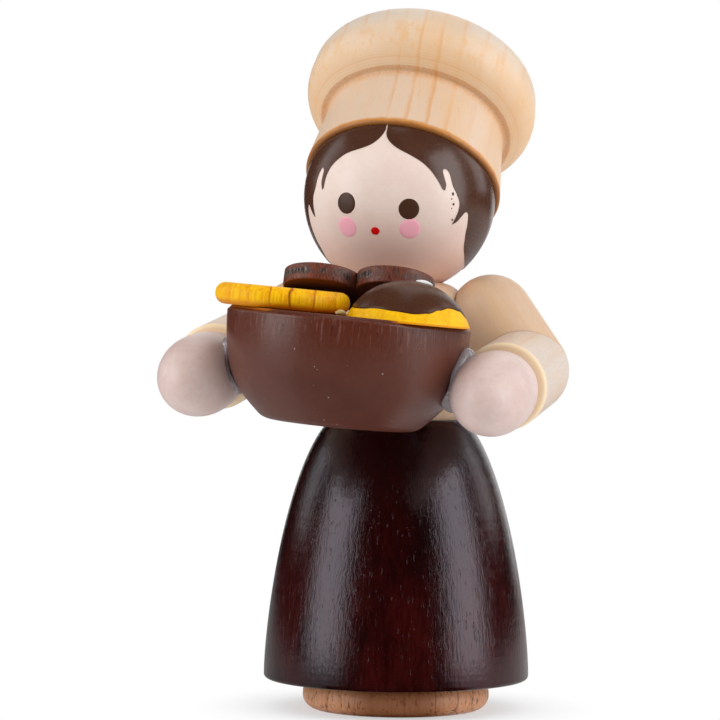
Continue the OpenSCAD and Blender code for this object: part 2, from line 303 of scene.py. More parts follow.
def cloudy(vector, scale, detail=2.0, roughness=0.5):
    """Smooth noise from 0 to 1."""
    inputs = {"Vector": vector, "Scale": scale, "Detail": detail, "Roughness": roughness}
    return field(vector.tree, "TexNoise", inputs, "Fac")


def drawn_out(vector, scale, detail=2.0, roughness=0.5):
    """Smooth noise from 0 to 1, with its own scale along each axis."""
    return cloudy(stretched(vector, scale), 1.0, detail, roughness)


def uneven(noise, amount):
    """Noise as a push to both sides of zero."""
    return (noise - 0.5) * amount


def tinted(mask, first, second, blend="MIX"):
    """A colour between two, by a mask."""
    inputs = {0: mask, 6: first, 7: second}
    return field(mask.tree, "Mix", inputs, 2, data_type="RGBA", blend_type=blend)


def layered(colour, *layers):
    """A colour with tints over it, each by its own mask."""
    for mask, tint in layers:
        colour = tinted(mask, colour, tint)
    return colour


NUMBER = "NodeSocketFloat"


def new_group(name, numbers, outputs):
    """A shared effect on a vector in millimetres: what it is given, and the sockets of its results."""
    tree = bpy.data.node_groups.new(name, "ShaderNodeTree")
    tree.interface.new_socket("Vector", in_out="INPUT", socket_type="NodeSocketVector")
    for label, value in numbers.items():
        tree.interface.new_socket(label, in_out="INPUT", socket_type=NUMBER).default_value = value
    for label in outputs:
        tree.interface.new_socket(label, in_out="OUTPUT", socket_type=NUMBER)
    given = {s.name: Field(s) for s in tree.nodes.new("NodeGroupInput").outputs if s.name}
    return tree, given, tree.nodes.new("NodeGroupOutput").inputs


def lathe_lines(vector):
    """Fine lines that a turning tool leaves round the Z axis, from 0 to 1."""
    inputs = {"W": axis(vector, "Z"), "Scale": 7.0, "Detail": 3.0, "Roughness": 0.6}
    return field(vector.tree, "TexNoise", inputs, "Fac", noise_dimensions="1D")


def make_wood_grain():
    """Growth rings, fibres, pores and tool lines on wood that grew along Z."""
    tree, given, result = new_group(
        "wood_grain",
        {"Ring Spacing": 1.65, "Ring Phase": 0.0, "Ring Width": 0.24, "Pith": 40.0, "Waver": 0.5, "Fibres": 7.0,
         "Fibre Draw": 0.05, "Pores": 5.0, "Pore Draw": 0.1, "Pore Amount": 0.3, "Faintest Ring": 0.5, "Wander": 0.3},
        ["Rings", "Season", "Fibre", "Pores", "Patches", "Flecks", "Turning"])
    vector = given["Vector"]
    patches = drawn_out(vector, (0.32, 0.32, 0.06))
    plug(patches, result["Patches"])
    plug(drawn_out(vector, (5.0, 5.0, 2.0), 3.0, 0.6), result["Flecks"])
    plug(lathe_lines(vector), result["Turning"])

    # Rings are thin dark shells round a pith that lies off to one side
    flat = field(tree, "CombineXYZ", {"X": axis(vector, "X") + given["Pith"], "Y": axis(vector, "Y")})
    radius = vectors("LENGTH", flat, output="Value") - given["Pith"] - given["Ring Phase"]
    sway = drawn_out(vector, (0.9, 0.9, 0.5)) * 0.4 + patches
    year = (radius + (sway - 0.7) * given["Waver"]) / given["Ring Spacing"]
    season = maths("FRACT", year)
    plug(maths("POWER", season, 2.5), result["Season"])
    late = between(season, 1.0 - given["Ring Width"], 0.92) * between(season, 0.92, 1.0, 1.0, 0.0)
    lot = field(tree, "TexWhiteNoise", {"W": maths("FLOOR", year)}, "Value", noise_dimensions="1D")
    broken = drawn_out(vector, (0.4, 0.4, 0.22))
    strength = between(lot, 0.1, 0.8, given["Faintest Ring"], 1.0) * between(broken, 0.32, 0.58, 0.15, 1.0)
    plug(late * strength, result["Rings"])

    # Fibres and pores are wavy noise drawn out along the grain
    wander = field(tree, "TexNoise", {"Vector": vector, "Scale": 1.1, "Detail": 1.0}, "Color")
    reach = field(tree, "CombineXYZ", {"X": given["Wander"], "Y": given["Wander"]})
    wavy = vectors("ADD", vector, stretched(vectors("SUBTRACT", wander, (0.5, 0.5, 0.5)), reach))

    def lines(close, draw, detail, roughness):
        drawn = field(tree, "CombineXYZ", {"X": 1.0, "Y": 1.0, "Z": given[draw]})
        inputs = {0: stretched(wavy, drawn), "Scale": given[close]}
        return cloudy(field(tree, "VectorMath", inputs, operation="SCALE"), 1.0, detail, roughness)

    plug(lines("Fibres", "Fibre Draw", 4.0, 0.62), result["Fibre"])
    pores = lines("Pores", "Pore Draw", 2.0, 0.55) - (1.0 - given["Pore Amount"])
    plug(between(pores, 0.0, 0.06), result["Pores"])
    return tree


def make_paint_film():
    """Cloudy cover, mottling, orange peel, tool lines and soft specks."""
    tree, given, result = new_group(
        "paint_film", {"Speck Spacing": 1.4, "Speck Size": 0.06, "Speck Share": 0.5},
        ["Cover", "Mottle", "Peel", "Specks", "Turning"])
    vector = given["Vector"]
    plug(lathe_lines(vector), result["Turning"])
    plug(cloudy(vector, 0.35, 3.0, 0.55), result["Cover"])
    plug(cloudy(vector, 2.2, 5.0, 0.65), result["Mottle"])
    plug(cloudy(vector, 3.2, 3.0, 0.5), result["Peel"])
    close = 1.0 / given["Speck Spacing"]
    ragged = field(tree, "TexNoise", {"Vector": vector, "Scale": 4.0, "Detail": 2.0}, "Color")
    ragged = vectors("ADD", vector, stretched(ragged, (0.12, 0.12, 0.12)))
    cells = add(tree, "TexVoronoi", {"Vector": ragged, "Scale": close}).outputs
    size = given["Speck Size"] * close
    speck = between(Field(cells["Distance"]), size * 0.4, size, 1.0, 0.0)
    lot = field(tree, "SeparateColor", {0: Field(cells["Color"])})
    plug(speck * maths("LESS_THAN", lot, given["Speck Share"]), result["Specks"])
    return tree


WOOD_GRAIN = make_wood_grain()
PAINT_FILM = make_paint_film()


class Finish:
    """A material with one shader and the nodes that feed it."""

    def __init__(self, name, matrix=None, **values):
        """With a matrix, its vector is the object's coordinates in millimetres as seen from that place."""
        self.material = bpy.data.materials.new(name)
        self.material.use_nodes = True
        self.tree = self.material.node_tree
        self.shader = self.tree.nodes["Principled BSDF"]
        self.feed(**values)
        if matrix is not None:
            spot, turn, _ = matrix.decompose()
            inputs = {"Vector": field(self.tree, "TexCoord", output="Object"), "Location": spot * MM,
                      "Rotation": turn.to_euler(), "Scale": (MM, MM, MM)}
            self.vector = field(self.tree, "Mapping", inputs, vector_type="TEXTURE")

    def effect(self, group, **inputs):
        """The results of one of the shared effects, with its own values."""
        node = add(self.tree, "Group", node_tree=group)
        for label, value in {"Vector": self.vector, **inputs}.items():
            plug(value, node.inputs[spaced(label)])
        return {s.name: Field(s) for s in node.outputs}

    def feed(self, **values):
        """Link or set inputs of the shader."""
        for label, value in values.items():
            plug(value, self.shader.inputs[spaced(label)])

    def bump(self, height, distance):
        """Fine relief, by a height from 0 to 1 over this distance in millimetres."""
        inputs = {"Height": height, "Distance": distance * MM, "Strength": 1.0}
        self.feed(Normal=field(self.tree, "Bump", inputs))


# Finishes; two colours under one name are a main tone and the shade that clouds or streaks it

def bare_wood(name, matrix, tones, ring, ring_share, fibre_share, pore_share, ring_span=None, fleck_share=0.6,
              specular=0.5, **grain):
    """Unpainted wood, with its grain along the Z axis of the place."""
    finish = Finish(name, matrix, IOR=1.5, Specular_IOR_Level=specular)
    wood = finish.effect(WOOD_GRAIN, **grain)
    fibre = between(wood["Fibre"], 0.3, 0.72)
    tone = fibre + wood["Season"] * 0.5 + between(wood["Flecks"], 0.45, 0.75, 0.0, fleck_share)
    rings = wood["Rings"] * ring_share
    if ring_span:
        start, end = ring_span
        across = axis(finish.vector, "X")
        rings = rings * between(across, start, start + 0.8) * between(across, end - 0.8, end, 1.0, 0.2)
    colour = tinted(maths("MULTIPLY", tone, fibre_share, clamp=True), *tones)
    finish.wood = wood
    finish.colour = layered(colour, (rings, ring), (wood["Pores"] * pore_share, ring))
    finish.feed(Base_Color=finish.colour, Roughness=between(wood["Fibre"], 0.2, 0.8, 0.36, 0.5))
    finish.bump(fibre * 0.4 - wood["Pores"] + wood["Turning"] * 0.3, 0.007)
    return finish


BEECH = ((0.95, 0.48, 0.265), (0.64, 0.26, 0.11))
BEECH_MIDDLE_SHADE = (0.33, 0.10, 0.030)
BEECH_FLECK = (0.15, 0.050, 0.018)
MIDDLE_SHADE_REACH = 2.0


def beech_wood(name, matrix):
    """Beech, painted darker through its middle across the view from the front: a painted shade."""
    finish = bare_wood(name, matrix, BEECH, BEECH_FLECK, 0.6, 0.6, 0.75, Fibres=5.0, Pores=3.6,
                       Pore_Draw=0.3, Pore_Amount=0.41, Ring_Spacing=1.35, Ring_Width=0.14, Waver=1.6)
    # Painted shade: darkest on the middle line across the view, fading out towards the sides
    aside = maths("ABSOLUTE", axis(finish.vector, "X"))
    heart = between(aside, MIDDLE_SHADE_REACH, 2.6 * MIDDLE_SHADE_REACH, 0.75, 0.0)
    finish.feed(Base_Color=tinted(heart, finish.colour, BEECH_MIDDLE_SHADE))
    return finish


PALE = ((0.65, 0.465, 0.330), (0.62, 0.41, 0.265))
PALE_RING = (0.66, 0.36, 0.16)
PALE_WARM = (0.74, 0.46, 0.25)
# The forearms get a whiter, greyer copy of the pale wood: a painted sheen
FOREARM_SHEEN = ((0.665, 0.58, 0.515), (0.64, 0.51, 0.42))
CUFF_PAINTED_LIGHT = (0.95, 0.73, 0.46)


def pale_wood(name, matrix, tones=PALE, warmth=0.6, end=None):
    """Pale close-grained wood under a clear matt coat; near a sawn end it is painted lighter and yellower, a painted
    light against the shade of the hand there.
    """
    finish = bare_wood(name, matrix, tones, PALE_RING, 0.35, 0.7, 0.3, Pore_Amount=0.34)
    colour = tinted(between(finish.wood["Patches"], 0.45, 0.75) * warmth, finish.colour, PALE_WARM)
    if end:
        # Painted light: the end of the sleeve next to the hand is lifted to a lighter, yellower tone
        sawn = between(axis(finish.vector, "Z"), end - 0.5, end - 0.2) * 0.8
        colour = tinted(sawn, colour, CUFF_PAINTED_LIGHT)
    finish.feed(Base_Color=colour)
    return finish


HAT_PALE = ((0.745, 0.585, 0.435), (0.77, 0.54, 0.36))
HAT_TOP = (0.63, 0.565, 0.495)
BAND_PAINTED_SHADE = (0.93, 0.90, 0.90)
HAT_RING = (0.72, 0.34, 0.12)
HAT_WARM = (0.76, 0.42, 0.16)
HONEY = (0.62, 0.235, 0.028)
HONEY_DARK = (0.26, 0.085, 0.012)


def hat_wood(name, matrix):
    """Pale wood with honey stain on the rim and in the hollow under the crown, and painted shade on the band and
    under the crown.
    """
    finish = bare_wood(name, matrix, HAT_PALE, HAT_RING, 0.7, 0.6, 0.35, ring_span=(-2.7, 4.8),
                       Pore_Amount=0.34, Ring_Spacing=1.76, Ring_Phase=-0.05, Pith=120.0, Waver=0.7,
                       Ring_Width=0.34, Faintest_Ring=0.8)
    wood = finish.wood
    height = axis(finish.vector, "Z")
    above = height - HAT_RIM + uneven(cloudy(finish.vector, 1.5), 0.3)
    rim = between(above, 0.35, 0.68, 1.0, 0.0)
    brim = between(above, 0.05, 0.42, 1.0, 0.0)
    band = between(height, BAND_TOP, BAND_TOP + 0.2, 1.0, 0.0)
    feather = uneven(wood["Fibre"], 1.2)
    cove = (between(height + feather * 0.4, BAND_TOP - 0.15, BAND_TOP + 0.4)
            * between(height, COVE_TOP + 0.01, COVE_TOP + 0.06, 1.0, 0.0)
            * between(wood["Flecks"], 0.3, 0.7, 0.3, 0.55))
    # The crown is warmer below than above, partly stain and partly painted shade on its underside that faces down,
    # and the lip of the cove stays paler
    lower = height + (uneven(cloudy(finish.vector, 0.3, 3.0), 3.0) + feather)
    under = (between(height, COVE_TOP + 0.05, COVE_TOP + 0.25, 0.8, 1.0)
             * between(lower, COVE_TOP - 0.2, CROWN_WIDE - 0.6, 1.0, 0.0)
             * between(height, COVE_TOP, COVE_TOP + 0.04))
    upper = between(lower, CROWN_WIDE - 1.5, CROWN_WIDE + 1.0, 0.0, 0.7)
    figure = between(wood["Patches"], 0.42, 0.7) * 0.3
    blotch = (between(drawn_out(finish.vector, (1.1, 1.1, 0.7), 3.0, 0.6), 0.46, 0.68)
              * between(height, COVE_TOP + 0.3, COVE_TOP + 1.5)
              * between(height, CROWN_WIDE - 1.5, CROWN_WIDE + 0.6, 0.5, 0.0))
    lines = (between(wood["Turning"], 0.46, 0.64)
             * between(height, COVE_TOP + 0.3, COVE_TOP + 1.4, 0.36, 0.04)
             * between(height, COVE_TOP + 0.08, COVE_TOP + 0.14))
    colour = tinted(upper, finish.colour, HAT_TOP)
    # Painted shade: the band is darkened against the light that falls on it
    colour = tinted(band, colour, BAND_PAINTED_SHADE, "MULTIPLY")
    finish.feed(Base_Color=layered(
        colour, (wood["Rings"] * (upper * 0.6), HAT_RING), (maths("MAXIMUM", figure, blotch), HAT_WARM),
        (lines, HONEY), (under * 0.35, HAT_WARM), (cove, HONEY), (rim * 0.9, HONEY), (brim * 0.75, HONEY_DARK)))
    return finish


DUST = (0.42, 0.36, 0.34)
STAIN_BLACK = (0.010, 0.0006, 0.0006)
STAIN_RED = (0.042, 0.0030, 0.0020)
STAIN_PORE = (0.004, 0.001, 0.001)
LACQUER_TINT = (0.96, 0.88, 1.0)


def dark_stain(name, matrix):
    """Wood stained a very dark red brown under satin lacquer, which the raised fibres ripple."""
    finish = Finish(name, matrix, IOR=1.5, Specular_IOR_Level=0.62, Specular_Tint=LACQUER_TINT)
    wood = finish.effect(WOOD_GRAIN, Fibres=4.2, Fibre_Draw=0.1, Pores=4.2, Pore_Amount=0.36)
    film = finish.effect(PAINT_FILM, Speck_Spacing=2.6, Speck_Size=0.06, Speck_Share=0.2)
    fibre = between(wood["Fibre"], 0.3, 0.7)
    glow = (between(drawn_out(finish.vector, (0.2, 0.2, 0.1), 4.0, 0.65), 0.36, 0.62)
            * between(axis(finish.vector, "Z"), 4.0, 22.0, 1.0, 0.4))
    colour = tinted(glow * between(fibre, 0.0, 1.0, 0.5, 1.0), STAIN_BLACK, STAIN_RED)
    colour = layered(colour, (wood["Pores"] * 0.7, STAIN_PORE), (film["Specks"] * 0.5, DUST))
    finish.feed(Base_Color=colour, Roughness=between(wood["Fibre"], 0.2, 0.8, 0.15, 0.22))
    finish.bump(wood["Fibre"] + wood["Turning"] * 0.015 - wood["Pores"] * 0.35, 0.03)
    return finish


def paint(name, matrix, tones, roughness, speck=DUST, peel=0.003, specular=0.5, **specks):
    """Brushed paint: cloudy cover, a faint orange peel and a few specks."""
    finish = Finish(name, matrix, IOR=1.5, Specular_IOR_Level=specular)
    film = finish.effect(PAINT_FILM, **specks)
    finish.film = film
    finish.colour = tinted(film["Specks"] * 0.8, tinted(between(film["Cover"], 0.35, 0.7), *tones), speck)
    finish.feed(Base_Color=finish.colour,
                Roughness=between(film["Peel"], 0.3, 0.7, roughness - 0.04, roughness + 0.04))
    finish.bump(film["Peel"] + film["Turning"], peel)
    return finish


SKIN_GREY = (0.60, 0.44, 0.39)
SKIN_SPECK = (0.42, 0.16, 0.12)
SKIN_SMUDGE = (0.58, 0.26, 0.20)
SKIN_PAINTED_SHADE = (0.80, 0.50, 0.40)


def skin_paint(name, matrix, tones, mottle, smudges, painted_shade_from):
    """Flesh-coloured paint, more or less mottled and smudged by handling, and darker and rosier towards its low end:
    a painted warm shade.
    """
    finish = paint(name, matrix, tones, 0.36, SKIN_SPECK, Speck_Share=0.05)
    marks = finish.effect(PAINT_FILM, Speck_Spacing=2.6, Speck_Size=0.3, Speck_Share=smudges)
    # Painted warm shade, strongest at the low end and gone by the middle
    low = between(axis(finish.vector, "Z"), painted_shade_from, 0.0, 0.85, 0.0)
    grey = between(finish.film["Mottle"], 0.42, 0.72) * mottle
    finish.feed(Base_Color=layered(finish.colour, (low, SKIN_PAINTED_SHADE), (grey, SKIN_GREY),
                                   (marks["Specks"] * 0.45, SKIN_SMUDGE)))
    return finish


BOWL_BROWN = ((0.114, 0.0325, 0.0200), (0.103, 0.0280, 0.0168))
BOWL_RIM = (0.102, 0.0190, 0.0070)
BOWL_WEAR_AND_SHEEN = (0.24, 0.12, 0.095)
BOWL_DARK = (0.030, 0.008, 0.005)


def bowl_paint(name, matrix):
    """Brown paint that shows the wood's fibres through it, with light wear streaks along the rim that are partly a
    painted highlight.
    """
    finish = paint(name, matrix, BOWL_BROWN, 0.33, specular=0.6, Speck_Spacing=1.0, Speck_Size=0.085,
                   Speck_Share=0.75)
    wood = finish.effect(WOOD_GRAIN, Fibres=6.0, Pores=4.5, Pore_Amount=0.38)
    height = axis(finish.vector, "Z")
    ragged = height + uneven(wood["Fibre"], 5.0)
    # Light streaks near the rim: wear, and partly a painted highlight
    wear_and_sheen = between(ragged, -2.6, 0.0) * between(wood["Fibre"], 0.52, 0.66)
    open_grain = wood["Pores"] * between(height, -3.0, -0.3, 0.12, 0.8)
    finish.feed(Base_Color=layered(finish.colour, (between(ragged, -3.6, -1.2), BOWL_RIM), (wear_and_sheen * 0.4, BOWL_WEAR_AND_SHEEN),
                                   (open_grain, BOWL_DARK)))
    finish.bump(wood["Fibre"] * 0.7 + finish.film["Peel"] - open_grain, 0.006)
    return finish


YELLOW = ((0.94, 0.56, 0.003), (0.75, 0.28, 0.0006))
YELLOW_RING = (0.24, 0.045, 0.001)
YELLOW_LOW_SHADE = (0.62, 0.19, 0.003)


def yellow_stain(name, matrix, ring_share, fibre_share, edge, ring_span=None, **grain):
    """Pale wood stained a strong yellow, with the growth rings dark in it and its lower edge painted darker, a
    painted shade.
    """
    finish = bare_wood(name, matrix, YELLOW, YELLOW_RING, ring_share, fibre_share, 0.0, ring_span,
                       0.1, 0.15, Ring_Width=0.17, Fibres=6.0, Wander=0.06, **grain)
    height = axis(finish.vector, "Z") + uneven(finish.wood["Fibre"], 2 * edge)
    # Painted shade along the lower edge
    low = between(height, 0.5 * edge, 1.5 * edge, 0.8, 0.0)
    finish.feed(Base_Color=tinted(low, finish.colour, YELLOW_LOW_SHADE))
    return finish


HEART_BROWN = (0.21, 0.060, 0.034)
HEART_DARK = (0.065, 0.018, 0.011)
HEART_BURNT = (0.022, 0.015, 0.015)
HEART_FRAYED = (0.24, 0.19, 0.18)
HEART_UNDERSIDE_SHADE = (0.11, 0.026, 0.014)


def heart_stain(name, matrix, thick):
    """Dark red-brown wood whose sawn wall is frayed and nearly black along its middle, and whose underside is painted
    darker, a painted shade.
    """
    finish = Finish(name, matrix, IOR=1.5, Specular_IOR_Level=0.35)
    vector = finish.vector
    height = axis(vector, "Z")
    streak = drawn_out(vector, (7.0, 7.0, 1.6), 4.0, 0.65)
    patch = drawn_out(vector, (0.5, 0.5, 0.2))
    level = (height + uneven(cloudy(vector, 1.8, 3.0, 0.6), 0.8)) / thick
    frayed = between(level, 0.22, 0.46) * between(level, 0.6, 0.84, 1.0, 0.0) * between(patch, 0.38, 0.58)
    brown = tinted(between(streak, 0.35, 0.65), HEART_BROWN, HEART_DARK)
    burnt = tinted(between(streak, 0.47, 0.62), HEART_BURNT, HEART_FRAYED)
    # Painted shade: the underside is darker, and rougher
    below = between(height, 0.0, 0.06, 1.0, 0.0)
    dull = maths("MAXIMUM", below, frayed * 0.55)
    finish.feed(Base_Color=layered(brown, (frayed, burnt), (below, HEART_UNDERSIDE_SHADE)),
                Roughness=between(dull, 0.0, 1.0, 0.35, 1.0))
    finish.bump(streak * between(frayed, 0.0, 1.0, 0.3, 1.0), 0.06)
    return finish


def dried_glue(name, clear, tones):
    """Dried glue, more or less clear and a little cloudy."""
    finish = Finish(name, HERE, IOR=1.45, Transmission_Weight=clear)
    cloud = cloudy(finish.vector, 1.2, 3.0)
    finish.feed(Base_Color=tinted(cloud, *tones), Roughness=between(cloud, 0.3, 0.7, 0.08, 0.25))
    finish.bump(cloud, 0.02)
    return finish


# Turned pieces, from the floor up

FACING_FRONT = turn_by(0, 0, CAMERA_TURN)

FOOT_EDGE = 1.2
foot_high = span("foot_disc")[1]
beech = beech_wood("beech", FACING_FRONT)
piece("turned_foot", turned(rounded_disc(foot_high.x, foot_high.z, FOOT_EDGE)), beech, "foot_disc")
for dowel in ("foot_dowel", "neck_dowel"):
    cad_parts[dowel].data.materials.clear()
    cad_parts[dowel].data.materials.append(beech.material)

HEM_ROUND = 0.35
HEM_RISE = 3.9
WAIST_R = 5.9
WAIST_FULLNESS = 5.7
WAIST_SLOPE = -47.6
skirt_low, skirt_high = span("skirt")
HEM_R = skirt_high.x
hem_top = (HEM_R, skirt_low.z + HEM_ROUND)
waist = (WAIST_R, skirt_high.z)
skirt_profile = [(0, skirt_low.z)]
skirt_profile += arc((HEM_R - HEM_ROUND, hem_top[1]), HEM_ROUND, -90, 0)
skirt_profile += bend(hem_top, step_from(hem_top, HEM_RISE, 90),
                      step_from(waist, WAIST_FULLNESS, WAIST_SLOPE), waist)[1:]
skirt_profile += [(0, skirt_high.z)]
piece("turned_skirt", turned(skirt_profile), dark_stain("dark_stain", HERE), "skirt")

HEAD_R = span("head")[1].x
HEAD_Z = span("head")[1].z - HEAD_R
HEAD_PLACE = Matrix.Translation((0, 0, HEAD_Z))
TORSO_WAIST_R = 5.5
SHOULDER_ROUND = 3.0
CHEST_R = 6.2
NECK_SEAT_R = 3.8
SHOULDER_FLAT = 5.4
TORSO_Z = skirt_high.z + GLUE
# The dish in the shoulders is part of a ball one glue line larger than the head
seat_ball = HEAD_R + GLUE
seat_angle = degrees(asin(NECK_SEAT_R / seat_ball))
seat_top = HEAD_Z - seat_ball * cos(radians(seat_angle))
shoulder_turn = degrees(acos((NECK_SEAT_R - CHEST_R + SHOULDER_ROUND) / SHOULDER_ROUND))
shoulder_middle = (CHEST_R - SHOULDER_ROUND, seat_top - SHOULDER_ROUND * sin(radians(shoulder_turn)))
torso_profile = [(0, TORSO_Z), (TORSO_WAIST_R, TORSO_Z)]
torso_profile += arc(shoulder_middle, SHOULDER_ROUND, 0, shoulder_turn, 2 * ROUND_STEPS)
torso_profile += arc((0, HEAD_Z), seat_ball, seat_angle - 90, -90)
torso = turned(torso_profile)
for side in (1, -1):
    saw_off(torso, (side * (SHOULDER_FLAT - GLUE / 2), 0, 0), (side, 0, 0))
piece("turned_torso", torso, pale_wood("torso_wood", HERE), "torso", SAWN_EDGE)

# Hat, along its own axis from the middle of the head

HAT_LEAN = 36
HAT_LEAN_LEFT = 2
HAT_RIM = 1.25
HAT_WALL = 0.35
HAT_RIM_ROUND = 0.25
BAND_H = 5.8
BAND_TAPER = 0.7
COVE_H = 0.65
CROWN_LIP = 0.6
CROWN_R = 10.0
CROWN_LOWER_H = 4.1
CROWN_FLARE = 2.9
CROWN_FLARE_ANGLE = 35
CROWN_SIDE = 0.5
CROWN_ROUND = 2.3
CROWN_EDGE_ANGLE = 80
BAND_TOP = HAT_RIM + BAND_H
COVE_TOP = BAND_TOP + COVE_H
CROWN_WIDE = COVE_TOP + CROWN_LOWER_H
hollow_r = sqrt(seat_ball ** 2 - HAT_RIM ** 2)
hollow_angle = degrees(asin(HAT_RIM / seat_ball))
rim_r = hollow_r + HAT_WALL
band_r = rim_r - BAND_TAPER
cove_corner = (band_r, COVE_TOP)
crown_start = (band_r + CROWN_LIP, COVE_TOP)
top_reach = CROWN_R - CROWN_ROUND
top_r = CROWN_ROUND + top_reach / cos(radians(CROWN_EDGE_ANGLE))
top_middle = CROWN_WIDE - top_reach * tan(radians(CROWN_EDGE_ANGLE))
hat_profile = arc((0, 0), seat_ball, 90, hollow_angle, CURVE_STEPS)
hat_profile += arc((rim_r - HAT_RIM_ROUND, HAT_RIM + HAT_RIM_ROUND), HAT_RIM_ROUND, -90, 0)
hat_profile += bend((band_r, BAND_TOP), cove_corner, cove_corner, crown_start, ROUND_STEPS)
hat_profile += bend(crown_start, step_from(crown_start, CROWN_FLARE, CROWN_FLARE_ANGLE),
                    (CROWN_R, CROWN_WIDE - CROWN_SIDE), (CROWN_R, CROWN_WIDE))[1:]
hat_profile += arc((top_reach, CROWN_WIDE), CROWN_ROUND, 0, CROWN_EDGE_ANGLE, 2 * ROUND_STEPS)[1:]
hat_profile += arc((0, top_middle), top_r, CROWN_EDGE_ANGLE, 90)[1:]
hat_turn = turn_by(-HAT_LEAN, HAT_LEAN_LEFT, 0)
HAT_PLACE = HEAD_PLACE @ hat_turn
# The growth rings lie edge on to the front
hat_finish = hat_wood("hat_wood", HAT_PLACE @ FACING_FRONT)
piece("turned_hat", put(turned(hat_profile), HAT_PLACE), hat_finish, "hat", TURNED_EDGE)

# Arms: rods with round ends, mitred at the elbow and sawn flat at the shoulder

ARM_R = 3.6
SHOULDER = (8.15, 0, 33.65)
UPPER_ARM_LEN = 5.7
UPPER_ARM_FORWARD = 16
CUFF_ROUND = 0.35
HAND_R = 3.35
HAND_LEN = 9.6
HAND_THICK_AT = 4.2
WRIST_R = 2.9
HAND_FLAT = 0.4
# The hands take a darker copy of the face's flesh paint: a painted shade
HAND_SKIN_SHADED = ((0.705, 0.542, 0.505), (0.66, 0.49, 0.445))
GRIP_GLUE = ((0.95, 0.88, 0.94), (0.74, 0.65, 0.67))
GRIP_BEAD_R = 1.85
GRIP_BEAD_SWELL = 1.3
GRIP_BEAD_SPREAD = 0.16
GRIP_BEAD_UNEVEN = 0.09
GRIP_BEAD_STEPS = 16
GRIP_RING_STEPS = 64
# For each side: its sign, the angle of the upper arm from hanging down, the middle of the hand,
# the way from there to the place where it is glued to the bowl, and how thick the glue stands out there
ARMS = {
    "left": (1, 37, (11.835, -16.1, 27.253), (-0.941, 0, 0.338), 0.27),
    "right": (-1, 60, (-12.531, -16.1, 28.566), (0.969, 0, 0.248), 0.14),
}


def rod(end):
    """Half outline of an arm's rod: a round start and the given end."""
    return arc((0, 0), ARM_R, -90, 0, 2 * ROUND_STEPS) + end


def hand_outline():
    """Half outline of a hand: its back swells from the wrist, and the finger end is half an oval."""
    wrist_angle = acos(WRIST_R / HAND_R)
    back_len = HAND_THICK_AT / sin(wrist_angle)
    tip_len = HAND_LEN - HAND_THICK_AT
    turns = [wrist_angle * (i / ROUND_STEPS - 1) for i in range(ROUND_STEPS)]
    swell = [(cos(t), back_len * sin(t)) for t in turns]
    tip = [(x, tip_len * y) for x, y in arc((0, 0), 1, 0, 90, 3 * ROUND_STEPS)]
    return [(0, GLUE)] + [(HAND_R * x, max(GLUE, HAND_THICK_AT + y)) for x, y in swell + tip]


def grip_bead(place, thick):
    """Glue squeezed out round a grip, thickest above and below it."""
    bead = turned(arc((GRIP_BEAD_R, 0), thick, 0, 360, GRIP_BEAD_STEPS), GRIP_RING_STEPS)
    for vert in bead.verts:
        outward = vert.co.xy.normalized().to_3d()
        steep = (place.to_3x3() @ outward).z ** 2
        from_middle = vert.co - GRIP_BEAD_R * outward
        middle = GRIP_BEAD_R * (1 + GRIP_BEAD_SPREAD * steep) * outward
        vert.co = middle + (1 + GRIP_BEAD_SWELL * steep) * from_middle
        vert.co += GRIP_BEAD_UNEVEN * lumpy(vert.co)
    return put(bead, place)


grip_glue = dried_glue("grip_glue", 0.7, GRIP_GLUE)
for name, (side, out, hand_at, grip_way, glue_thick) in ARMS.items():
    shoulder = Vector((side * SHOULDER[0], SHOULDER[1], SHOULDER[2]))
    hand_middle = Vector(hand_at)
    to_bowl = Vector(grip_way)
    upper_way = turn_by(0, 0, -side * UPPER_ARM_FORWARD) @ turn_by(0, -side * out, 0) @ -UP
    elbow = shoulder + UPPER_ARM_LEN * upper_way
    fore_way = (hand_middle - elbow).normalized()
    fore_len = (hand_middle - elbow).length - HAND_THICK_AT
    mitre_way = (upper_way + fore_way).normalized()
    upper_place = along(shoulder, upper_way)
    fore_place = along(elbow, fore_way)
    hand_place = along(elbow + fore_len * fore_way, fore_way)

    upper = put(turned(rod(arc((0, UPPER_ARM_LEN), ARM_R, 0, 90, 2 * ROUND_STEPS))), upper_place)
    saw_off(upper, elbow - GLUE / 2 * mitre_way, mitre_way)
    saw_off(upper, (side * (SHOULDER_FLAT + GLUE / 2), 0, 0), (-side, 0, 0))
    upper_finish = pale_wood("upper_arm_wood_" + name, upper_place)
    piece("upper_arm_rod_" + name, upper, upper_finish, "upper_arm_" + name, SAWN_EDGE)

    cuff = arc((ARM_R - CUFF_ROUND, fore_len - CUFF_ROUND), CUFF_ROUND, 0, 90) + [(0, fore_len)]
    fore = put(turned(rod(cuff)), fore_place)
    saw_off(fore, elbow + GLUE / 2 * mitre_way, -mitre_way)
    # Painted sheen in the forearm's whiter tones, and painted light at its cuff end
    fore_finish = pale_wood("forearm_wood_" + name, fore_place, FOREARM_SHEEN, 0.35, fore_len)
    piece("forearm_rod_" + name, fore, fore_finish, "forearm_" + name, SAWN_EDGE)

    hand = put(turned(hand_outline()), hand_place)
    saw_off(hand, hand_middle + (HAND_R - HAND_FLAT) * to_bowl, to_bowl)
    hand_finish = skin_paint("hand_paint_" + name, hand_place, HAND_SKIN_SHADED, 0.45, 0.4, -HAND_LEN)
    piece("painted_hand_" + name, hand, hand_finish, "hand_" + name, SAWN_EDGE)

    grip_place = along(hand_middle + (HAND_R - HAND_FLAT + GLUE / 2) * to_bowl, to_bowl)
    piece("grip_glue_" + name, grip_bead(grip_place, glue_thick), grip_glue)

# Bowl and cookies, from the middle of the bowl's flat top

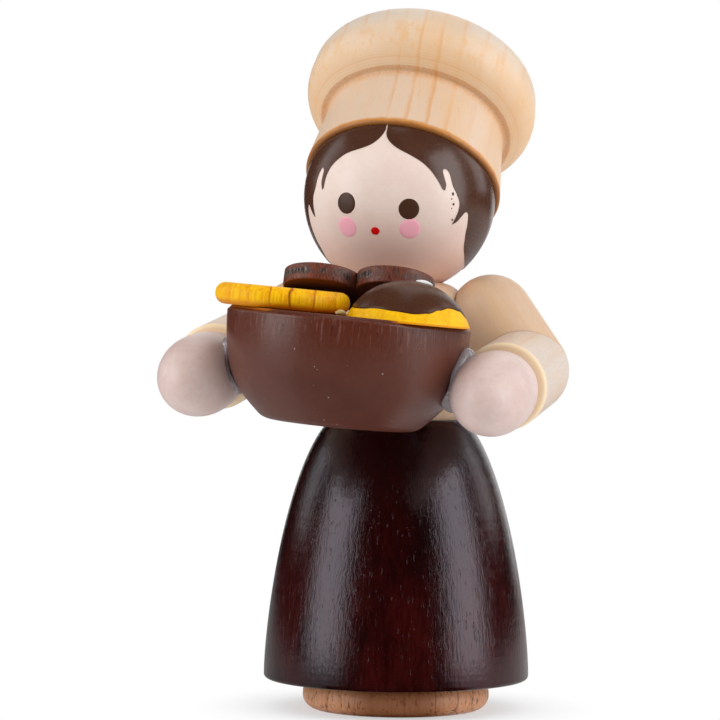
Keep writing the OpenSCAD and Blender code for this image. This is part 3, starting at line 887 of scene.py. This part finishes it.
BOWL_AT = (0, -16.1, 33.25)
BOWL_LEAN = 5.2
BOWL_R = 9.85
BOWL_BASE_R = 6.2
BOWL_H = 8.65
BOWL_RIM_ROUND = 0.28
BOWL_WALL_H = 5.0
BOWL_TAPER = 1.5
BOWL_BELLY = 2.67
BOWL_BELLY_ANGLE = 43
BOWL_BASE_ROUND = 1.6
BOWL_PLACE = Matrix.Translation(BOWL_AT) @ turn_by(0, BOWL_LEAN, 0)
base_inset = BOWL_BASE_ROUND * tan(radians(BOWL_BELLY_ANGLE / 2))
base_middle = (BOWL_BASE_R - base_inset, BOWL_BASE_ROUND - BOWL_H)
rim_corner = (BOWL_R, -BOWL_RIM_ROUND)
bowl_profile = [(0, -BOWL_H)] + arc(base_middle, BOWL_BASE_ROUND, -90, BOWL_BELLY_ANGLE - 90)
belly = bowl_profile[-1]
bowl_profile += bend(belly, step_from(belly, BOWL_BELLY, BOWL_BELLY_ANGLE),
                     step_from(rim_corner, BOWL_WALL_H, -90 - BOWL_TAPER), rim_corner)[1:]
bowl_profile += arc((BOWL_R - BOWL_RIM_ROUND, -BOWL_RIM_ROUND), BOWL_RIM_ROUND, 0, 90)[1:]
bowl_profile += [(0, 0)]
bowl_finish = bowl_paint("bowl_paint", BOWL_PLACE)
piece("turned_bowl", put(turned(bowl_profile), BOWL_PLACE), bowl_finish, "bowl")

COOKIE_BED = 0.2
DISC_R = 5.4
DISC_H = 1.75
DISC_AT = (-4.85, -3.0, COOKIE_BED)
DISC_PLACE = BOWL_PLACE @ Matrix.Translation(DISC_AT)
disc = turned(rounded_disc(DISC_R, DISC_H, DISC_H / 2 - GLUE))
disc_finish = yellow_stain("disc_stain", DISC_PLACE @ FACING_FRONT, 0.95, 0.85, 0.35, (-2.0, 3.4), Ring_Phase=-0.5,
                           Ring_Spacing=1.7, Waver=1.0, Faintest_Ring=0.75)
piece("disc_biscuit", put(disc, DISC_PLACE), disc_finish, "disc_cookie")

DOME_R = 4.9
DOME_H = 3.15
DOME_AT = (5.492, -2.6, COOKIE_BED)
# The dome's edge lies this far below its CAD base, in the bed
DOME_LOW = -0.17
DOME_BALL = (DOME_R ** 2 + DOME_H ** 2) / (2 * DOME_H)
DOME_MIDDLE = DOME_H - DOME_BALL
DOME_PLACE = BOWL_PLACE @ Matrix.Translation(DOME_AT)
dome_side = degrees(acos((DOME_LOW - DOME_MIDDLE) / DOME_BALL))
dome_profile = [(0, DOME_LOW)] + arc((0, DOME_MIDDLE), DOME_BALL, 90 - dome_side, 90, CURVE_STEPS)
dome_base = DOME_PLACE @ Matrix.Translation((0, 0, DOME_LOW))
dome_finish = yellow_stain("dome_stain", dome_base @ FACING_FRONT, 0.0, 0.5, 0.14)
piece("dome_biscuit", put(turned(dome_profile), DOME_PLACE), dome_finish, "dome_cookie", TURNED_EDGE)

# The cookies lie in a thin bed of glue, painted over but for the amber edge round the yellow ones, which is glue and
# partly a painted reflection of their lower edges
BED_R = 9.5
BED_BACK = 8.5
BED_TOP = COOKIE_BED - 0.02
AMBER = (0.34, 0.10, 0.008)
AMBER_FROM = 0.1
AMBER_TO = 0.5
bed_finish = bowl_paint("bed_paint", BOWL_PLACE)
by_disc, by_dome = [
    between(vectors("DISTANCE", bed_finish.vector, middle, "Value"), radius + AMBER_FROM, radius + AMBER_TO, 1.0, 0.0)
    for middle, radius in ((DISC_AT, DISC_R), (DOME_AT, DOME_R))]
bed_finish.feed(Base_Color=tinted(maths("MAXIMUM", by_disc, by_dome), bed_finish.colour, AMBER))
bed = turned([(0, 0), (BED_R + BED_TOP, 0), (BED_R, BED_TOP), (0, BED_TOP)])
saw_off(bed, (0, BED_BACK, 0), (0, 1, 0), BED_TOP / 4)
piece("cookie_bed", put(bed, BOWL_PLACE), bed_finish, sharp=SAWN_EDGE)

GLAZE = 0.1
GLAZE_UNDER = 0.03
GLAZE_BROWN = ((0.072, 0.027, 0.0125), (0.062, 0.022, 0.010))
# Edge of the glaze, as turn round the dome and angle down from its top
GLAZE_EDGE = [(-180, 57), (-132, 57.5), (-110, 55.8), (-90, 56.8), (-71, 58), (-56, 56.2), (-43, 52), (-26, 48.7),
              (-5, 51), (8, 57.5), (30, 60), (60, 55), (95, 58), (130, 52), (180, 57)]


def glaze_edge(around):
    """Angle from the top of the dome to the edge of the glaze."""
    for (start, first), (end, last) in zip(GLAZE_EDGE, GLAZE_EDGE[1:]):
        if around <= end:
            share = (around - start) / (end - start)
            return first + (last - first) * share * share * (3 - 2 * share)
    return GLAZE_EDGE[-1][1]


def glaze_film():
    """A thin film over the top of the dome, down to its wavy edge."""
    shares = [i / CURVE_STEPS for i in range(CURVE_STEPS + 1)]
    line = [(DOME_BALL + GLAZE * sqrt(1 - t ** 6), t) for t in shares]
    line += [(DOME_BALL - GLAZE_UNDER, t) for t in reversed(shares)]
    film = turned([(r * sin(t), r * cos(t)) for r, t in line], 2 * TURN_STEPS)
    for vert in film.verts:
        edge = radians(glaze_edge(degrees(atan2(vert.co.y, vert.co.x))))
        lean = vert.co.angle(UP) * edge
        outward = Vector((vert.co.x, vert.co.y, 0)).normalized()
        vert.co = vert.co.length * (cos(lean) * UP + sin(lean) * outward)
    return film


GLAZE_PLACE = DOME_PLACE @ Matrix.Translation((0, 0, DOME_MIDDLE))
glaze_finish = paint("brown_glaze", GLAZE_PLACE, GLAZE_BROWN, 0.3, peel=0.0015, specular=0.25,
                     Speck_Share=0.1)
piece("dome_glaze", put(glaze_film(), GLAZE_PLACE), glaze_finish)

HEART_W = 12.5
HEART_LEN = 10.6
HEART_LOBE = 3.17
HEART_H = 1.45
HEART_TIP = (0, 9.25, GLUE)
HEART_RISE = 16.14
HEART_TILT = 2.8
HEART_SOFT = 0.16


def heart_board():
    """A heart sawn from a board: two lobes, and straight sides that meet at the tip."""
    lobe_x = HEART_W / 2 - HEART_LOBE
    lobe_y = HEART_LEN - HEART_LOBE
    start = -degrees(atan2(lobe_x, lobe_y) + asin(HEART_LOBE / hypot(lobe_x, lobe_y)))
    end = 180 - degrees(acos(lobe_x / HEART_LOBE))
    lobe = arc((lobe_x, lobe_y), HEART_LOBE, start, end, 3 * CURVE_STEPS)
    outline = [(0, 0)] + lobe + [(-x, y) for x, y in lobe[-2::-1]]
    bm = bmesh.new()
    under = bm.faces.new([bm.verts.new((x, y, 0)) for x, y in outline])
    raised = bmesh.ops.extrude_face_region(bm, geom=[under])
    bmesh.ops.translate(bm, vec=HEART_H * UP, verts=only(bmesh.types.BMVert, raised["geom"]))
    bmesh.ops.recalc_face_normals(bm, faces=bm.faces)
    soften(bm, [e for e in bm.edges if abs(e.verts[0].co.z - e.verts[1].co.z) < WELD], HEART_SOFT, 4)
    return bm


HEART_PLACE = BOWL_PLACE @ Matrix.Translation(HEART_TIP) @ turn_by(-HEART_RISE, -HEART_TILT, 0) @ turn_by(0, 0, 180)
heart_finish = heart_stain("heart_stain", HEART_PLACE, HEART_H)
piece("heart_biscuit", put(heart_board(), HEART_PLACE), heart_finish, "heart_cookie", SAWN_EDGE)

AMBER_GLUE = ((0.78, 0.58, 0.24), (0.60, 0.40, 0.12))
WHITE_GLUE = ((0.95, 0.95, 0.95), (0.90, 0.89, 0.88))
DROP_R = 0.4
DROP_UNEVEN = 0.16
MIDDLE_DROP_AT = (0.9, -6.1, 0.4)
TOP_DROP_ANGLE = 11


def glue_drop(name, place, shape, finish):
    """A drop of glue between the cookies, round but for its shape's share of each axis."""
    drop = bmesh.new()
    bmesh.ops.create_icosphere(drop, subdivisions=4, radius=DROP_R)
    for vert in drop.verts:
        vert.co += DROP_UNEVEN * DROP_R * lumpy(vert.co / DROP_R)
    bmesh.ops.scale(drop, vec=shape, verts=drop.verts)
    piece(name, put(drop, place), finish)


amber_glue = dried_glue("amber_glue", 0.3, AMBER_GLUE)
white_glue = dried_glue("white_glue", 0.1, WHITE_GLUE)
glue_drop("cookie_glue_middle", BOWL_PLACE @ Matrix.Translation(MIDDLE_DROP_AT), (1, 1, 0.55), amber_glue)
# The heart leans on the glaze here
top_drop_place = GLAZE_PLACE @ turn_by(0, TOP_DROP_ANGLE, 0) @ Matrix.Translation((0, 0, DOME_BALL + GLAZE))
glue_drop("cookie_glue_top", top_drop_place, (1.6, 0.8, 0.45), white_glue)

# Head: a painted ball with hair, eyes, cheeks and mouth as thin films of paint on it

BALL_STEPS = 72
FACE_SKIN = ((0.84, 0.69, 0.62), (0.81, 0.64, 0.57))
head_finish = skin_paint("face_paint", HEAD_PLACE, FACE_SKIN, 0.1, 0.0, -HEAD_R)
ball = turned(arc((0, 0), HEAD_R, -90, 90, BALL_STEPS))
piece("painted_head", put(ball, HEAD_PLACE), head_finish, "head")

HAIR = ((0.078, 0.029, 0.016), (0.066, 0.024, 0.013))
HAIR_FILM = 0.045
# Depth to which films of paint reach into the ball
FILM_UNDER = 0.02
HAIR_CELL = 4
# Height to which the hair reaches under the hat
HAIR_TUCK = 1.2
NAPE = -50
CROWN_PITCH = 64
BACK = 180
# Edge of the hair on the ball, as turn and rise in degrees seen from the middle of the head:
# each line runs from one point of the hair to the next
HAIR_LEFT = (
    [(4.3, CROWN_PITCH), (4.2, 43), (4.2, 37), (6.5, 32.2), (12, 27.2), (21, 22.2), (28, 17.8), (33.5, 12.5),
     (37.7, 6.3), (40, 2.4), (41.5, 1.4)],
    [(41.5, 1.4), (42.4, 4.8), (41.2, 10), (40.9, 13), (42.5, 14.3), (44.6, 13), (46, 9.5), (47.2, 4.5),
     (50, -0.6), (52.2, -5.4), (51.8, -10.4), (50.2, -15), (48.6, -18.4)],
    [(48.6, -18.4), (52, -16.4), (55, -13), (57.4, -10.8), (60, -11.6), (61.3, -17), (63, -26), (69, -35),
     (86, -44), (115, -48.5), (150, NAPE), (BACK, NAPE)],
)
HAIR_RIGHT = (
    [(3.1, CROWN_PITCH), (3, 43), (2.6, 39.5), (-0.2, 34.4), (-5.4, 29.8), (-12, 27.2), (-21.7, 24.3),
     (-28.5, 20.3), (-33.3, 15.4), (-35.6, 11), (-36.8, 6), (-37.3, 3.6), (-38.4, 2.4)],
    [(-38.4, 2.4), (-39.6, 7), (-39, 13.5), (-40.6, 15.6), (-42.4, 15), (-44.6, 10.6), (-46.4, 4.1), (-48.8, -1),
     (-49.4, -6), (-49, -13.3)],
    [(-49, -13.3), (-51.5, -11), (-54, -7.4), (-56.4, -5.4), (-59.2, -9), (-61, -18), (-62, -27), (-64.5, -36),
     (-84, -44.5), (-115, -48.5), (-150, NAPE), (-BACK, NAPE)],
)


def ball_way(turn, rise):
    """The way out from the middle of the head at this turn and rise, in degrees."""
    yaw = radians(turn)
    pitch = radians(rise)
    return Vector((sin(yaw) * cos(pitch), -cos(yaw) * cos(pitch), sin(pitch)))


def hair_sheet(lines, back):
    """One half of the hair, laid flat in degrees and cut into small cells, then wrapped on the ball."""
    bm = bmesh.new()
    edge = [p for line in lines for p in flowing(line)[:-1]]
    ring = [bm.verts.new(p) for p in edge + [Vector((back, NAPE, 0)), Vector((back, CROWN_PITCH, 0))]]
    loop = [bm.edges.new(pair) for pair in zip(ring, ring[1:] + ring[:1])]
    bmesh.ops.triangle_fill(bm, edges=loop, use_beauty=True)
    for way, start, end in (((1, 0, 0), min(0, back), max(0, back)), ((0, 1, 0), NAPE, CROWN_PITCH)):
        for place in range(start + HAIR_CELL, end, HAIR_CELL):
            bmesh.ops.bisect_plane(bm, geom=everything(bm), dist=WELD, plane_co=place * Vector(way), plane_no=way)
    for vert in bm.verts:
        vert.co = (HEAD_R - FILM_UNDER) * ball_way(vert.co.x, vert.co.y)
    return bm


def hair_film():
    """Both halves of the hair in one film, cut off under the hat."""
    film = bmesh.new()
    for lines, back in ((HAIR_LEFT, BACK), (HAIR_RIGHT, -BACK)):
        half = hair_sheet(lines, back)
        mesh = bpy.data.meshes.new("hair_half")
        half.to_mesh(mesh)
        half.free()
        film.from_mesh(mesh)
        bpy.data.meshes.remove(mesh)
    bmesh.ops.remove_doubles(film, verts=film.verts, dist=WELD)
    hat_axis = hat_turn @ UP
    bmesh.ops.bisect_plane(film, geom=everything(film), dist=WELD, plane_co=(HAT_RIM + HAIR_TUCK) * hat_axis,
                           plane_no=hat_axis, clear_outer=True)
    grown = bmesh.ops.extrude_face_region(film, geom=film.faces[:])
    lift = (HEAD_R + HAIR_FILM) / (HEAD_R - FILM_UNDER)
    bmesh.ops.scale(film, vec=(lift, lift, lift), verts=only(bmesh.types.BMVert, grown["geom"]))
    bmesh.ops.recalc_face_normals(film, faces=film.faces)
    return film


hair_finish = paint("hair_paint", HEAD_PLACE, HAIR, 0.24, Speck_Share=0.06)
piece("painted_hair", put(hair_film(), HEAD_PLACE), hair_finish, sharp=HAIR_EDGE)

DOT_STEPS = 48
DOT_THICK = 0.05
MOUTH_THICK = 0.06
SPLASH_THICK = 0.03
SPLASH_STRETCH = 1.2
EYE_W = 1.74
CHEEK_W = 1.78
MOUTH_W = 0.74
EYE = ((0.072, 0.029, 0.016), (0.062, 0.024, 0.012))
CHEEK = ((0.97, 0.46, 0.55), (0.95, 0.42, 0.51))
MOUTH = ((0.68, 0.004, 0.003), (0.60, 0.003, 0.002))


def paint_dot(name, turn, rise, width, height, thick, finish):
    """A drop of paint on the head."""
    shares = [i / ROUND_STEPS for i in range(ROUND_STEPS + 1)]
    line = [(width / 2 * t, sqrt(HEAD_R ** 2 - (width / 2 * t) ** 2), t) for t in shares]
    film = [(x, z + thick * sqrt(1 - t ** 4)) for x, z, t in line]
    film += [(x, z - FILM_UNDER) for x, z, t in reversed(line)]
    dot = turned(film, DOT_STEPS)
    bmesh.ops.scale(dot, vec=(1, height / width, 1), verts=dot.verts)
    way = ball_way(turn, rise)
    across = ball_way(turn + 90, 0)
    facing = Matrix((across, way.cross(across), way)).transposed().to_4x4()
    piece(name, put(dot, HEAD_PLACE @ facing), finish, sharp=TURNED_EDGE)


eye_finish = paint("eye_paint", HEAD_PLACE, EYE, 0.34, specular=0.3, Speck_Share=0.0)
cheek_finish = paint("cheek_paint", HEAD_PLACE, CHEEK, 0.45, Speck_Share=0.0)
mouth_finish = paint("mouth_paint", HEAD_PLACE, MOUTH, 0.3, specular=0.25, Speck_Share=0.0)
paint_dot("eye_left", 19.8, -9.9, EYE_W, EYE_W, DOT_THICK, eye_finish)
paint_dot("eye_right", -19, -6.2, EYE_W, EYE_W * 1.03, DOT_THICK, eye_finish)
paint_dot("cheek_left", 20.9, -21.8, CHEEK_W, CHEEK_W * 0.96, DOT_THICK, cheek_finish)
paint_dot("cheek_right", -20.5, -20.4, CHEEK_W, CHEEK_W, DOT_THICK, cheek_finish)
paint_dot("mouth", -1.3, -23.1, MOUTH_W, 0.70, MOUTH_THICK, mouth_finish)
# Small splashes of the hair's paint beside the lock: turn, rise and width
SPLASHES = ((47.2, -0.4, 0.24), (46.4, -3.4, 0.12), (47.9, -6.4, 0.2), (46.8, -8.9, 0.1), (48.2, -15.6, 0.16))
for number, (turn, rise, width) in enumerate(SPLASHES):
    paint_dot("hair_splash_%d" % (number + 1), turn, rise, width, SPLASH_STRETCH * width, SPLASH_THICK, hair_finish)

# Studio

PHOTO_SIDE = 720
SENSOR = 36
PX_PER_MM = 11.62
CAMERA_FAR = 240
CAMERA_ASIDE = -3.3
CAMERA_HEIGHT = 29.865
CAMERA_ROLL = 0.45
CAMERA_NEAREST = 5

camera_data = bpy.data.cameras.new("photo_camera")
camera_data.sensor_width = SENSOR
camera_data.lens = PX_PER_MM * CAMERA_FAR / PHOTO_SIDE * SENSOR
camera_data.clip_start = CAMERA_NEAREST * MM
camera = bpy.data.objects.new("photo_camera", camera_data)
camera.location = FACING_FRONT @ Vector((CAMERA_ASIDE, -CAMERA_FAR, CAMERA_HEIGHT)) * MM
camera.rotation_euler = [radians(a) for a in (90, -CAMERA_ROLL, CAMERA_TURN)]
bpy.context.scene.collection.objects.link(camera)
bpy.context.scene.camera = camera

LAMP_TARGET = Vector((0, -4, 30))


def softbox(name, turn, rise, distance, width, height, watts):
    """A soft lamp, at a turn from the camera and a rise, aimed at the figure."""
    data = bpy.data.lights.new(name, "AREA")
    data.shape = "RECTANGLE"
    data.size = width * MM
    data.size_y = height * MM
    data.energy = watts
    lamp = bpy.data.objects.new(name, data)
    way = turn_by(0, 0, CAMERA_TURN + turn) @ turn_by(rise, 0, 0) @ Vector((0, -1, 0))
    way.z = sin(radians(rise))
    lamp.location = (LAMP_TARGET + distance * way) * MM
    lamp.rotation_euler = way.to_track_quat("Z", "Y").to_euler()
    lamp.visible_camera = False
    bpy.context.scene.collection.objects.link(lamp)
    return lamp


softbox("softbox_left", -67, 18, 360, 220, 290, 0.53)
softbox("softbox_right", 66, 20, 360, 230, 380, 0.74)
softbox("softbox_left_back", -116, 26, 360, 130, 240, 0.11)
softbox("softbox_right_back", 116, 26, 360, 130, 240, 0.13)
# The one above the camera fills the shadows and leaves no highlight
softbox("softbox_above", 0, 48, 400, 440, 110, 0.48).visible_glossy = False

WHITE = (1, 1, 1)
FILL_LOW = 1.25
FILL_LEVEL = 0.55
FILL_HIGH = 0.57
FILL_FRONT = 0.4


def seen_directly(tree):
    """1 for a ray that shows the background itself: to the eye, in a reflection or through glass."""
    path = add(tree, "LightPath").outputs
    first = maths("MAXIMUM", Field(path["Is Camera Ray"]), Field(path["Is Glossy Ray"]))
    return maths("MAXIMUM", first, Field(path["Is Transmission Ray"]))


# White to the eye, and a fill from above and from the table, with little from the camera's side
world = bpy.data.worlds.new("white_studio")
bpy.context.scene.world = world
world.use_nodes = True
sky = world.node_tree
sky.nodes.clear()
ray_way = field(sky, "TexCoord", output="Generated")
ray_rise = axis(ray_way, "Z")
from_table = between(ray_rise, -0.3, 0.0, FILL_LOW, FILL_LEVEL)
from_above = between(ray_rise, 0.1, 0.6, 0.0, FILL_HIGH - FILL_LEVEL)
ahead = vectors("DOT_PRODUCT", ray_way, FACING_FRONT @ Vector((0, -1, 0)), "Value")
strength = (from_table + from_above) * between(ahead, 0.45, 0.9, 1.0, FILL_FRONT)
fill = field(sky, "Background", {"Color": WHITE, "Strength": strength})
white = field(sky, "Background", {"Color": WHITE, "Strength": 1.0})
backdrop = field(sky, "MixShader", {0: seen_directly(sky), 1: fill, 2: white})
add(sky, "OutputWorld", {0: backdrop})


def stage_piece(name, bm, material):
    """A piece of the studio, from a shape in millimetres."""
    thing = thing_from(name, bm, material)
    return thing


def cloth(name, grey):
    """Plain dull cloth."""
    return Finish(name, Base_Color=(grey, grey, grey), Roughness=1.0, Specular_IOR_Level=0.0).material


def reflected_sheet(name, line, start, sweep, material):
    """A sheet that only reflections show: a line swept round the Z axis, from a turn past the camera."""
    bm = bmesh.new()
    ends = [bm.verts.new(p) for p in line]
    edge = bm.edges.new(ends)
    bmesh.ops.rotate(bm, verts=ends, matrix=turn_by(0, 0, CAMERA_TURN + start))
    bmesh.ops.spin(bm, geom=ends + [edge], axis=UP, cent=(0, 0, 0), angle=radians(sweep), steps=SWEEP_STEPS)
    sheet = stage_piece(name, bm, material)
    sheet.visible_camera = False
    sheet.visible_diffuse = False
    sheet.visible_shadow = False


# A dark curtain round the front and sides, and a table that is dark in front and paler at the sides
CURTAIN_R = 700
CURTAIN_LOW = -10
CURTAIN_HIGH = 6000
CURTAIN_LEFT = 166
CURTAIN_RIGHT = 146
TABLE_INNER_R = 1
TABLE_Z = -2
TABLE_FRONT = 48
TABLE_SIDE = 180 - TABLE_FRONT
velvet = cloth("dark_velvet", 0.004)
curtain_line = ((0, -CURTAIN_R, CURTAIN_LOW), (0, -CURTAIN_R, CURTAIN_HIGH))
table_line = ((0, -TABLE_INNER_R, TABLE_Z), (0, -CURTAIN_R, TABLE_Z))
reflected_sheet("dark_curtain", curtain_line, -CURTAIN_LEFT, CURTAIN_LEFT + CURTAIN_RIGHT, velvet)
reflected_sheet("dark_table", table_line, -TABLE_FRONT, 2 * TABLE_FRONT, velvet)
reflected_sheet("pale_table", table_line, TABLE_FRONT, TABLE_SIDE, cloth("pale_felt", 0.55))
reflected_sheet("grey_table", table_line, 180, TABLE_SIDE, cloth("grey_felt", 0.33))

# Paper that is white to the eye and keeps the shadow close to the foot; reflections show the table instead
FLOOR_R = 19
FLOOR_GAP = 0.01
PAPER = (0.9, 0.9, 0.9)
SHADOW_FULL_R = 7
SHADOW_END_R = 18.5
paper = bpy.data.materials.new("pale_floor")
paper.use_nodes = True
ground = paper.node_tree
ground.nodes.clear()
from_foot = vectors("LENGTH", field(ground, "TexCoord", output="Object"), output="Value")
fade = between(from_foot, SHADOW_FULL_R * MM, SHADOW_END_R * MM, 0.5, 1.0)
dull = field(ground, "BsdfDiffuse", {"Color": PAPER})
bright = field(ground, "Emission", {"Strength": 1.0})
surface = field(ground, "MixShader", {0: fade * seen_directly(ground), 1: dull, 2: bright})
add(ground, "OutputMaterial", {0: surface})
sheet = bmesh.new()
bmesh.ops.create_circle(sheet, cap_ends=True, segments=TURN_STEPS, radius=FLOOR_R)
bmesh.ops.translate(sheet, vec=(0, 0, -FLOOR_GAP), verts=sheet.verts)
stage_piece("pale_floor", sheet, paper).visible_glossy = False

bpy.context.scene.view_settings.view_transform = "Standard"
